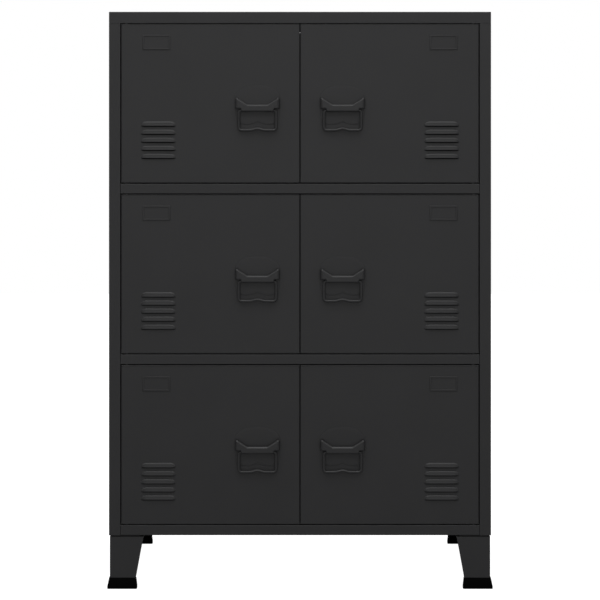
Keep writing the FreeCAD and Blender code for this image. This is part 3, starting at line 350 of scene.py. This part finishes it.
@dataclass
class Door:
    """One door and what is fixed to it, shaped as a left door and mirrored for a right one.

    All sizes are millimetres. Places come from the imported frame.
    """

    row: str
    side: Side
    sheet: float = 0.8
    depth: float = 18.0
    fold: float = 0.6
    hem: float = 0.5
    lip: float = 10.0
    louvre_count: int = 5
    louvre_pitch: float = 16.0
    louvre_length: float = 68.5
    louvre_rise: float = 9.6
    louvre_bulge: float = 3.6
    louvre_inset: float = 39.0
    louvre_foot: float = 48.2
    louvre_taper: float = 13.0
    slit: float = 1.4
    slit_end: float = 1.5
    shoulder_from: float = 0.55
    face_from: float = 0.62
    face_top: float = 0.8
    hinge_edge: float = field(init=False)
    centre_edge: float = field(init=False)
    low: float = field(init=False)
    high: float = field(init=False)
    front: float = field(init=False)

    def __post_init__(self) -> None:
        """Read the door's edges from its left-hand twin's box and the front from the side panel."""
        lowest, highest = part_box(f"{self.row}_left_door_panel")
        self.hinge_edge, self.centre_edge = lowest[0] / MM, highest[0] / MM
        self.low, self.high = lowest[2] / MM, highest[2] / MM
        self.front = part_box("left_side_panel")[0][1] / MM

    @property
    def prefix(self) -> str:
        """The start of the names of this door's CAD nodes."""
        return f"{self.row}_{self.side.value}"

    @property
    def body(self) -> str:
        """The CAD body the door moves with."""
        return f"{self.prefix}_door"

    def finish(self, surface: Surface, name: str,
               facing: tuple[float, float, float] | None = None) -> bpy.types.Object:
        """The surface as a piece of this door, mirrored if it is the right one."""
        shaped = surface.mirrored() if self.side is Side.RIGHT else surface
        return shaped.piece(f"{self.prefix}_{name}", facing)

    def build(self) -> None:
        """Make every piece of the door."""
        self.panel()
        CardHolder(self).build()
        Handle(self).build()

    def panel(self) -> None:
        """The folded tray with its louvres and the slits below them."""
        across, up = self.column_lines(), self.row_lines()
        grid_x, grid_z = np.meshgrid(across, up)
        grid = np.stack([grid_x, self.front - self.hoods(grid_x, grid_z), grid_z], axis=-1)
        surface = Surface()
        surface.add(grid, keep=self.closed_cells(across, up))
        surface.add(self.rim(across, up))
        tray = self.finish(surface, "door_tray", (0, -1, 0))
        thicken(tray, self.sheet)
        place(tray, self.body, Slot.COAT, [f"{self.prefix}_door_panel"])

    def column_lines(self) -> np.ndarray:
        """Grid lines across the door, close together where the louvres end."""
        start = self.hinge_edge + self.louvre_inset
        end = start + self.louvre_length
        lines = np.concatenate([
            [self.hinge_edge + self.fold + self.hem],
            np.linspace(self.hinge_edge + self.fold, start - 2, 5),
            np.linspace(start, start + self.louvre_taper, 16),
            np.linspace(start + self.louvre_taper, end - self.louvre_taper, 6),
            np.linspace(end - self.louvre_taper, end, 16),
            np.linspace(end + 2, self.centre_edge - self.fold, 12),
            [self.centre_edge - self.fold - self.hem],
        ])
        return np.unique(lines.round(4))

    def row_lines(self) -> np.ndarray:
        """Grid lines up the door, close together over each louvre and at its slit."""
        lines = [np.linspace(self.low + self.fold, self.low + self.louvre_foot - 5, 4)]
        lines.append([self.low + self.fold + self.hem, self.high - self.fold - self.hem])
        for number in range(self.louvre_count):
            foot = self.low + self.louvre_foot + number * self.louvre_pitch
            lines.append(np.array([foot - self.slit - 0.4, foot - self.slit]))
            lines.append(foot + self.louvre_rise * np.linspace(0, 1, 19))
        lines.append(np.linspace(foot + self.louvre_rise + 2, self.high - self.fold, 8))
        return np.unique(np.concatenate(lines).round(4))

    def hoods(self, across: np.ndarray, up: np.ndarray) -> np.ndarray:
        """How far the skin stands out at each point.

        Each hood rises from the skin at its top edge over a rounded shoulder, runs down a face that
        flares out towards its foot, and stops at its lip. Its ends narrow along quarter ellipses: with
        e the distance past where an end's taper starts over the taper's length, the hood is
        sqrt(1 - e^2) of its full height and of its full reach.
        """
        start = self.hinge_edge + self.louvre_inset
        past_left = (start + self.louvre_taper - across) / self.louvre_taper
        past_right = (across - start - self.louvre_length + self.louvre_taper) / self.louvre_taper
        past = np.clip(np.maximum(past_left, past_right), 0, None)
        end_share = np.sqrt(np.clip(1 - past ** 2, 0, 1))
        above = up - self.low - self.louvre_foot
        number = np.clip(np.floor(above / self.louvre_pitch + NEAR), 0, self.louvre_count - 1)
        height = above - number * self.louvre_pitch
        share = height / np.maximum(self.louvre_rise * end_share, NEAR)
        past_shoulder = np.clip((share - self.shoulder_from) / (1 - self.shoulder_from), 0, 1)
        shoulder = np.sqrt(np.clip(1 - past_shoulder ** 2.0, 0, 1))
        face = self.face_top + (1 - self.face_top) * smooth_step((self.face_from - share) / self.face_from)
        inside = (height >= -NEAR) & (share <= 1) & (end_share > 0)
        return np.where(inside, self.louvre_bulge * end_share * shoulder * face, 0.0)

    def closed_cells(self, across: np.ndarray, up: np.ndarray) -> np.ndarray:
        """Which cells of the skin are metal: all but the slit under each hood's lip."""
        start = self.hinge_edge + self.louvre_inset
        middle_x = (across[:-1] + across[1:]) / 2
        middle_z = (up[:-1] + up[1:]) / 2
        feet = self.low + self.louvre_foot + np.arange(self.louvre_count) * self.louvre_pitch
        in_slit = ((middle_z[:, None] < feet) & (middle_z[:, None] > feet - self.slit)).any(axis=1)
        end = start + self.louvre_length
        under_hood = (middle_x > start + self.slit_end) & (middle_x < end - self.slit_end)
        return ~(in_slit[:, None] & under_hood[None, :])

    def rim(self, across: np.ndarray, up: np.ndarray) -> np.ndarray:
        """The folds round the skin: a quarter round to the wall, the wall, and the lip behind it.

        Each ring is the skin's outline moved out by one offset and back by one depth, with mitred
        corners: offset r sin(a) and depth r (1 - cos(a)) round a fold of radius r.
        """
        bend = np.linspace(0, np.pi / 2, 6)
        out = self.fold * np.sin(bend)
        back = self.fold * (1 - np.cos(bend))
        lip_out = self.fold * np.cos(bend)
        lip_back = self.depth - self.fold + self.fold * np.sin(bend)
        offsets = np.concatenate([out, lip_out, [self.fold - self.lip]])
        depths = np.concatenate([back, lip_back, [self.depth]])
        left, right, foot, head = across[0], across[-1], up[0], up[-1]
        outline = np.concatenate([
            np.stack([across[:-1], np.full(len(across) - 1, foot)], axis=1),
            np.stack([np.full(len(up) - 1, right), up[:-1]], axis=1),
            np.stack([across[:0:-1], np.full(len(across) - 1, head)], axis=1),
            np.stack([np.full(len(up) - 1, left), up[:0:-1]], axis=1),
        ])
        outline = np.concatenate([outline, outline[:1]])
        away = np.stack([
            (outline[:, 0] >= right - NEAR) * 1.0 - (outline[:, 0] <= left + NEAR) * 1.0,
            (outline[:, 1] >= head - NEAR) * 1.0 - (outline[:, 1] <= foot + NEAR) * 1.0,
        ], axis=1)
        rings = outline[None] + away[None] * offsets[:, None, None]
        deep = np.broadcast_to((self.front + depths)[:, None], rings.shape[:2])
        return np.stack([rings[..., 0], deep, rings[..., 1]], axis=-1)


@dataclass
class CardHolder:
    """The low frame for a card at the door's outer upper corner."""

    door: Door
    rim: float = 3.2
    round: float = 0.7
    inner_round: float = 0.3
    turn_in: float = 1.2
    bed: float = 0.35

    def build(self) -> None:
        """Carry the rim's section round the frame, with mitred corners.

        The section rises at the outer edge, crosses the rim and turns down at the inner edge, with
        both shoulders rounded: a point is an inset from the outer edge and a height off the door.
        """
        lowest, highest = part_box(f"{self.door.row}_left_card_holder")
        height = (highest[1] - lowest[1]) / MM
        r = self.round
        section = rounded_path(
            [(0, 0), (0, height), (self.rim, height), (self.rim, self.bed),
             (self.rim - self.turn_in, self.bed)],
            [0, r, r, self.inner_round, 0], steps=4)
        left, right = lowest[0] / MM, highest[0] / MM
        foot, head = lowest[2] / MM, highest[2] / MM
        corners = np.array([(left, foot), (right, foot), (right, head), (left, head), (left, foot)])
        inward = np.array([(1, 1), (-1, 1), (-1, -1), (1, -1), (1, 1)])
        rings = corners[None] + inward[None] * section[:, 0, None, None]
        out = np.broadcast_to((self.door.front - section[:, 1])[:, None], rings.shape[:2])
        surface = Surface()
        surface.add(np.stack([rings[..., 0], out, rings[..., 1]], axis=-1))
        surface.add(self.card_bed(left, right, foot, head))
        holder = self.door.finish(surface, "card_frame", (0, -1, 0))
        place(holder, self.door.body, Slot.COAT, [f"{self.door.prefix}_card_holder"])

    def card_bed(self, left: float, right: float, foot: float, head: float) -> np.ndarray:
        """The thin bed behind the card, let into the frame a little above the door."""
        inset = self.rim - self.turn_in
        across = np.array([left + inset, right - inset])
        up = np.array([foot + inset, head - inset])
        grid_x, grid_z = np.meshgrid(across, up)
        return np.stack([grid_x, np.full_like(grid_x, self.door.front - self.bed), grid_z], axis=-1)


# ---------------------------------------------------------------- the handles

@dataclass
class Handle:
    """Backplate, bow and bail of one door, centred on the backplate."""

    door: Door
    plate_thickness: float = 1.2
    arch: float = 24.0
    scallop: float = 6.0
    bow_sheet: float = 1.6
    bow_bend: float = 6.0
    foot_bend: float = 2.4
    bow_flat: float = 20.0
    bow_notch: float = 31.0
    bow_mid: float = 14.6
    lean: float = 2.6
    drop: float = 0.5
    wire: float = 2.7
    corner: float = 5.5
    wave: float = 3.0
    wave_reach: float = 15.0
    lug_offset: float = 22.0
    lug_width: float = 4.0
    lug_sheet: float = 1.0
    lug_slack: float = 0.35
    wing: float = 9.0
    strap_foot: float = 8.0
    turn_back: float = 3.2
    middle: float = field(init=False)
    half: float = field(init=False)
    level: float = field(init=False)
    tip: float = field(init=False)
    reach: float = field(init=False)

    def __post_init__(self) -> None:
        """Read the handle's middle, half width and heights from the boxes of its left-hand twin."""
        lowest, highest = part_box(f"{self.door.row}_left_handle_bow")
        self.middle = (lowest[0] + highest[0]) / 2 / MM
        self.half = (highest[0] - lowest[0]) / 2 / MM
        self.level = lowest[2] / MM + self.bow_mid
        self.tip = highest[2] / MM - self.level
        self.reach = self.door.front - lowest[1] / MM

    def build(self) -> None:
        """Make the backplate, the bow and the bail."""
        self.backplate()
        self.bow()
        self.bail()

    def outline(self) -> np.ndarray:
        """The backplate's outline: a half ellipse on top, straight sides, two lobes below.

        With a running from 0 to pi over the top, a point is (half cos a, shoulder + arch sin a).
        Below, each lobe is one arch of a sine that hangs from the sides and meets at the middle.
        """
        box_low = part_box(f"{self.door.row}_left_handle_plate")[0][2] / MM
        shoulder, skirt = self.tip, self.level - box_low - self.scallop
        angle = np.linspace(0, np.pi, 49)
        top = np.stack([self.half * np.cos(angle), shoulder + self.arch * np.sin(angle)], axis=1)
        share = np.linspace(0, 1, 41)
        x = -(self.half - 2) + 2 * (self.half - 2) * share
        foot = np.stack([x, -skirt - self.scallop * np.abs(np.sin(2 * np.pi * share)) ** 0.8], axis=1)
        sides = np.linspace(0, 1, 8)[1:-1, None]
        left = top[-1] + (foot[0] - top[-1]) * sides
        right = foot[-1] + (top[0] - foot[-1]) * sides
        return np.concatenate([top, left, foot, right])

    def backplate(self) -> None:
        """The plate as rings of its outline: up the edge, over its round, and in to the middle."""
        outline = self.outline()
        centre = np.array([0.0, -5.0])
        insets = np.array([0.0, 0.0, 0.25, 0.7, 6.0, 20.0, 36.0])
        depths = np.array([0.0, 0.55, 0.95, 1.0, 1.0, 1.0, 1.0]) * self.plate_thickness
        reach = np.linalg.norm(outline - centre, axis=1)
        shares = 1 - insets[:, None] / reach[None]
        rings = centre + (outline - centre)[None] * np.clip(shares, 0, 1)[..., None]
        rings = np.concatenate([rings, np.broadcast_to(centre, (1, len(outline), 2))])
        depths = np.append(depths, self.plate_thickness)
        out = np.broadcast_to((self.door.front - depths)[:, None], rings.shape[:2])
        surface = Surface()
        grid = np.stack([rings[..., 0] + self.middle, out, rings[..., 1] + self.level], axis=-1)
        surface.add(grid, wrap=True)
        plate = self.door.finish(surface, "backplate", (0, -1, 0))
        place(plate, self.door.body, Slot.COAT, [])
        self.knuckles()

    def knuckles(self) -> None:
        """Two tabs curled round the bail's top bar, each a strip that leaves the plate and wraps it."""
        pivot_y, pivot_z = self.pivot()
        radius = self.wire + self.lug_slack
        angle = np.linspace(np.radians(-70), np.radians(215), 25)
        turn = angle + np.pi / 2
        curl = np.stack([pivot_y + radius * -np.sin(turn), pivot_z + radius * np.cos(turn)], axis=1)
        root = np.array([[self.door.front - self.plate_thickness, curl[0, 1] + 1.6]])
        strip = np.concatenate([root, curl])
        surface = Surface()
        for side in (-1, 1):
            middle = self.middle + side * self.lug_offset
            across = np.array([middle - self.lug_width / 2, middle + self.lug_width / 2])
            grid = np.stack([
                np.broadcast_to(across[None], (len(strip), 2)),
                np.broadcast_to(strip[:, :1], (len(strip), 2)),
                np.broadcast_to(strip[:, 1:], (len(strip), 2)),
            ], axis=-1)
            surface.add(grid)
        tabs = self.door.finish(surface, "bail_knuckles", (0, 0, 1))
        wall = tabs.modifiers.new("sheet", "SOLIDIFY")
        wall.thickness = self.lug_sheet * MM
        wall.offset = 0.0
        place(tabs, self.door.body, Slot.HANDLE, [])
        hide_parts(f"{self.door.prefix}_handle_plate")

    def pivot(self) -> tuple[float, float]:
        """Where the bail's top bar lies, as depth and height."""
        joint = next(item for item in frame["record"]["behaviour"]["joints"]
                     if item["child"] == f"{self.door.prefix}_bail")
        return joint["pos_m"][1] / MM, joint["pos_m"][2] / MM

    def bow(self) -> None:
        """The raised strap: a plan path carried over a height that follows the bow-tie outline.

        The path runs from one foot out, up the end, across the front and back to the other foot.
        Round each step goes a closed section given by a share of the strap's height, a distance
        added to it and a sink behind the face: round the lower edge, up the face, back over the
        slanting flange, under its lip and down the inside.
        """
        base = self.door.front - self.plate_thickness
        face = self.door.front - self.reach
        half, foot = self.half, self.half - self.strap_foot
        path = rounded_path(
            [(-foot, base), (-half, base), (-half, face), (half, face), (half, base), (foot, base)],
            [0, self.foot_bend, self.bow_bend, self.bow_bend, self.foot_bend, 0], steps=12)
        path = subdivided(path, 1.0)
        step = np.gradient(path, axis=0)
        step /= np.linalg.norm(step, axis=1, keepdims=True)
        inward = np.stack([-step[:, 1], step[:, 0]], axis=1)
        away = np.abs(path[:, 0])
        rise = np.clip((away - self.bow_flat) / (half - 3 - self.bow_flat), 0, 1)
        top = np.where(path[:, 1] > face + 1, self.tip, self.tip * rise)
        notch = smooth_step((away - self.bow_notch) / 1.6)
        bottom = -self.bow_mid + (self.bow_mid - self.wing) * notch
        section = self.strap_section()
        in_bend = smooth_step((path[:, 1] - face - 5) / 3)[:, None]
        flat = np.minimum(section[:, 2], self.bow_sheet)
        sink = section[None, :, 2] * (1 - in_bend) + flat[None] * in_bend
        height = bottom[:, None] + (top - bottom)[:, None] * section[None, :, 0] + section[None, :, 1]
        plan = path[:, None, :] + inward[:, None, :] * sink[..., None]
        grid = np.stack([plan[..., 0] + self.middle, plan[..., 1], height + self.level], axis=-1)
        ends = np.broadcast_to(grid[[0, -1]].mean(axis=1, keepdims=True), grid[[0, -1]].shape)
        surface = Surface()
        surface.add(np.concatenate([ends[:1], grid, ends[1:]]), wrap=True)
        strap = self.door.finish(surface, "handle_strap")
        place(strap, self.door.body, Slot.HANDLE, [f"{self.door.prefix}_handle_bow"])

    def strap_section(self) -> np.ndarray:
        """The strap's section as share of height, added height and sink, once round.

        The lower edge is turned back in a bend; the upper part is a flange turned back at a slant of
        equal rise and depth, then level.
        """
        sheet, lean = self.bow_sheet, self.lean
        back = self.turn_back
        lower = rounded_path(
            [(sheet, 4.0), (sheet, sheet), (back, sheet), (back, 0.0), (0.0, 0.0), (0.0, 4.0)],
            [0, 1.2, 0.3, 0.3, 2.8, 0], steps=5)
        upper = rounded_path(
            [(0.0, -lean - 2), (0.0, -lean), (lean, 0.0), (lean + 1.4, 0.0), (lean + 1.4, -1.2),
             (lean + 0.4, -1.2), (sheet, -lean - 0.4), (sheet, -lean - 2)],
            [0, 1.2, 0.8, 0.3, 0.3, 0.3, 0.6, 0], steps=5)
        both = np.concatenate([lower, upper])
        share = np.repeat([0.0, 1.0], [len(lower), len(upper)])
        return np.stack([share, both[:, 1] - self.drop * share, both[:, 0]], axis=1)

    def bail(self) -> None:
        """The closed ring: a round section carried along its path, always square to it.

        The path is a rectangle with rounded corners; its lower bar lifts in the middle by
        wave (1 + cos(pi x / reach)) / 2 within the wave's reach.
        """
        pivot_y, pivot_z = self.pivot()
        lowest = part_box(f"{self.door.row}_left_bail")[0]
        foot = lowest[2] / MM + self.wire
        half = self.middle - lowest[0] / MM - self.wire
        corners = [(0, pivot_z), (half, pivot_z), (half, foot), (-half, foot), (-half, pivot_z), (0, pivot_z)]
        path = subdivided(rounded_path(corners, [0] + [self.corner] * 4 + [0], steps=10), 1.5)[:-1]
        bump = self.wave * (1 + np.cos(np.pi * np.clip(path[:, 0] / self.wave_reach, -1, 1))) / 2
        path[:, 1] += np.where(path[:, 1] < foot + 0.01, bump, 0.0)
        step = np.roll(path, -1, axis=0) - np.roll(path, 1, axis=0)
        step /= np.linalg.norm(step, axis=1, keepdims=True)
        square = np.stack([-step[:, 1], step[:, 0]], axis=1)
        angle = np.linspace(0, 2 * np.pi, 20, endpoint=False)
        ring = path[:, None, :] + square[:, None, :] * (self.wire * np.cos(angle))[None, :, None]
        out = np.broadcast_to(pivot_y + self.wire * np.sin(angle)[None], ring.shape[:2])
        grid = np.stack([ring[..., 0] + self.middle, out, ring[..., 1]], axis=-1)
        surface = Surface()
        surface.add(np.concatenate([grid, grid[:1]]), wrap=True)
        bail = self.door.finish(surface, "bail_ring")
        place(bail, f"{self.door.prefix}_bail", Slot.HANDLE, [f"{self.door.prefix}_bail"])


# ---------------------------------------------------------------- feet and casing

@dataclass
class FootCap:
    """One moulded foot: an angle in plan that follows the leg's, wider towards its sole."""

    node: str
    arm: float = 15.1
    flare: float = 3.35
    corner: float = 2.5
    edge: float = 0.6
    toe: float = 5.0
    heel_round: float = 0.8

    def build(self) -> None:
        """Stack rings of the angle's outline from the sole to the top, and close both ends.

        A ring is the outline at the sole, at one height, with its outer sides moved in by an inset
        and its inner ones by half of it. The outline has six corners, each rounded, and is
        star-shaped about the middle of its heel.
        """
        lowest, highest = (np.array(corner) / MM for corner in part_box(self.node))
        width, top = highest[0] - lowest[0], highest[2] - lowest[2]
        arm = self.arm
        corners = np.array([(0, 0), (width, 0), (width, arm), (arm, arm), (arm, width), (0, width)])
        inward = np.array([(1, 1), (-0.5, 1), (-0.5, -0.5), (-0.5, -0.5), (-0.5, -0.5), (1, -0.5)])
        radii = [self.corner, self.corner, self.corner, self.heel_round, self.corner, self.corner]
        insets = np.array([self.edge, 0.2, 0.0, 0.0, self.flare, self.flare + 0.2, self.flare + 0.7])
        heights = np.array([0.0, 0.15, self.edge, self.toe, top - self.edge, top - 0.15, top])
        rings = np.stack([rounded_path((corners + inward * inset).tolist(), radii, steps=5, closed=True)
                          for inset in insets])
        heel = np.full((1,) + rings.shape[1:], self.arm / 2)
        rings = np.concatenate([heel, rings, heel])
        heights = np.concatenate([[0.0], heights, [top]])
        is_right, is_rear = "right" in self.node, "rear" in self.node
        across = highest[0] - rings[..., 0] if is_right else lowest[0] + rings[..., 0]
        deep = highest[1] - rings[..., 1] if is_rear else lowest[1] + rings[..., 1]
        level = np.broadcast_to((lowest[2] + heights)[:, None], across.shape)
        surface = Surface()
        surface.add(np.stack([across, deep, level], axis=-1), wrap=True)
        place(surface.piece(f"{self.node}_moulding"), "cabinet", Slot.PLASTIC, [self.node])


class Casing:
    """The fixed sheet-steel parts and fixings, which keep their CAD shape and get their finish."""

    SLOTS = {
        "black_powder_coat": Slot.COAT,
        "black_plastic": Slot.PLASTIC,
        "zinc_plated_steel": Slot.ZINC,
        "nylon": Slot.NYLON,
        "ferrite": Slot.FERRITE,
    }

    def dress(self) -> None:
        """Give every CAD node the finish of its slot in the record."""
        for part in frame["record"]["subparts"]:
            self.SLOTS[part["material_slot"]].dress(frame["nodes"][part["node"]])


# ---------------------------------------------------------------- the studio

@dataclass
class Studio:
    """A white floor, a pale sky, three broad soft lights in front, and a level camera."""

    distance: float = 3.7
    view_width: float = 1.193
    view_centre: float = 0.5739
    shift: float = -0.3035
    sensor: float = 36.0
    floor_half: float = 6000.0
    floor_drop: float = 0.05
    sky_low: float = 0.24
    sky_high: float = 1.25

    def build(self) -> None:
        """Make the floor, the world, the lights and the camera."""
        self.floor()
        self.world()
        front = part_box("left_side_panel")[0][1]
        self.light("overhead", (0.0, front - 1.5, 3.0), (0.0, front, 0.7), 3.2, 1.6, 28.0)
        self.light("top_edge", (0.0, front - 0.5, 3.0), (0.0, front, 0.9), 3.2, 0.8, 11.0)
        self.light("frontal", (0.0, front - 4.6, 1.0), (0.0, front, 0.6), 3.2, 1.6, 15.0)
        self.camera(front)
        bpy.context.scene.view_settings.view_transform = "Standard"

    def floor(self) -> None:
        """A plain white floor: bright to the camera, and pale grey to the light that bounces off it."""
        span = np.linspace(-self.floor_half, self.floor_half, 3)
        grid_x, grid_y = np.meshgrid(span, span)
        surface = Surface()
        surface.add(np.stack([grid_x, grid_y, np.full_like(grid_x, -self.floor_drop)], axis=-1))
        floor = surface.piece("floor", (0, 0, 1))
        paint = bpy.data.materials.new("matt white floor")
        paint.use_nodes = True
        tree = paint.node_tree
        tree.nodes.clear()
        rays = add_node(tree, "ShaderNodeLightPath")
        matt = add_node(tree, "ShaderNodeBsdfDiffuse", {"Color": (0.3, 0.3, 0.3, 1.0)})
        glow = add_node(tree, "ShaderNodeEmission", {"Color": (1.0, 1.0, 1.0, 1.0)},
                        {"Strength": rays.outputs["Is Camera Ray"]})
        both = add_node(tree, "ShaderNodeAddShader")
        tree.links.new(matt.outputs["BSDF"], both.inputs[0])
        tree.links.new(glow.outputs["Emission"], both.inputs[1])
        add_node(tree, "ShaderNodeOutputMaterial", None, {"Surface": both.outputs["Shader"]})
        floor.data.materials.append(paint)

    def world(self) -> None:
        """White behind the cabinet; as light on it, dim grey that brightens towards straight up."""
        sky = bpy.data.worlds.new("studio")
        sky.use_nodes = True
        tree = sky.node_tree
        tree.nodes.clear()
        rays = add_node(tree, "ShaderNodeLightPath")
        direction = add_node(tree, "ShaderNodeTexCoord")
        parts = add_node(tree, "ShaderNodeSeparateXYZ", None, {"Vector": direction.outputs["Generated"]})
        strength = add_node(tree, "ShaderNodeMapRange", {
            "From Min": 0.0, "From Max": 1.0, "To Min": self.sky_low, "To Max": self.sky_high,
            "interpolation_type": "SMOOTHSTEP",
        }, {"Value": parts.outputs["Z"]})
        seen = add_node(tree, "ShaderNodeBackground", {"Color": (1, 1, 1, 1), "Strength": 1.0})
        lit = add_node(tree, "ShaderNodeBackground", {"Color": (1, 1, 1, 1)},
                       {"Strength": strength.outputs["Result"]})
        mix = add_node(tree, "ShaderNodeMixShader", None, {"Fac": rays.outputs["Is Camera Ray"]})
        tree.links.new(lit.outputs["Background"], mix.inputs[1])
        tree.links.new(seen.outputs["Background"], mix.inputs[2])
        add_node(tree, "ShaderNodeOutputWorld", None, {"Surface": mix.outputs["Shader"]})
        bpy.context.scene.world = sky

    def light(self, name: str, spot: tuple[float, float, float], aim: tuple[float, float, float],
              width: float, height: float, power: float) -> None:
        """A rectangular soft light at a spot, turned to its aim.

        Args:
            name: the light's name.
            spot: where it stands, in metres.
            aim: what it points at.
            width: its width in metres.
            height: its height in metres.
            power: its power in watts.
        """
        lamp = bpy.data.lights.new(name, "AREA")
        lamp.shape = "RECTANGLE"
        lamp.size, lamp.size_y, lamp.energy = width, height, power
        holder = bpy.data.objects.new(name, lamp)
        holder.location = spot
        holder.rotation_euler = (Vector(aim) - Vector(spot)).to_track_quat("-Z", "Y").to_euler()
        bpy.context.scene.collection.objects.link(holder)

    def camera(self, front: float) -> None:
        """A level camera in front of the doors, whose frame is view_width wide at their plane."""
        lens = bpy.data.cameras.new("camera")
        lens.sensor_width = self.sensor
        lens.lens = self.sensor * self.distance / self.view_width
        lens.shift_y = self.shift
        holder = bpy.data.objects.new("camera", lens)
        holder.location = (0.0, front - self.distance, self.view_centre - self.shift * self.view_width)
        holder.rotation_euler = (math.pi / 2, 0.0, 0.0)
        bpy.context.scene.collection.objects.link(holder)
        bpy.context.scene.camera = holder


def main() -> None:
    logging.basicConfig(level=logging.INFO, format="%(message)s")
    Studio().build()
    Casing().dress()
    for row in ("lower", "middle", "upper"):
        for side in Side:
            Door(row, side).build()
    for corner in ("front_left", "front_right", "rear_left", "rear_right"):
        FootCap(f"{corner}_foot_cap").build()


if __name__ == "__main__":
    main()
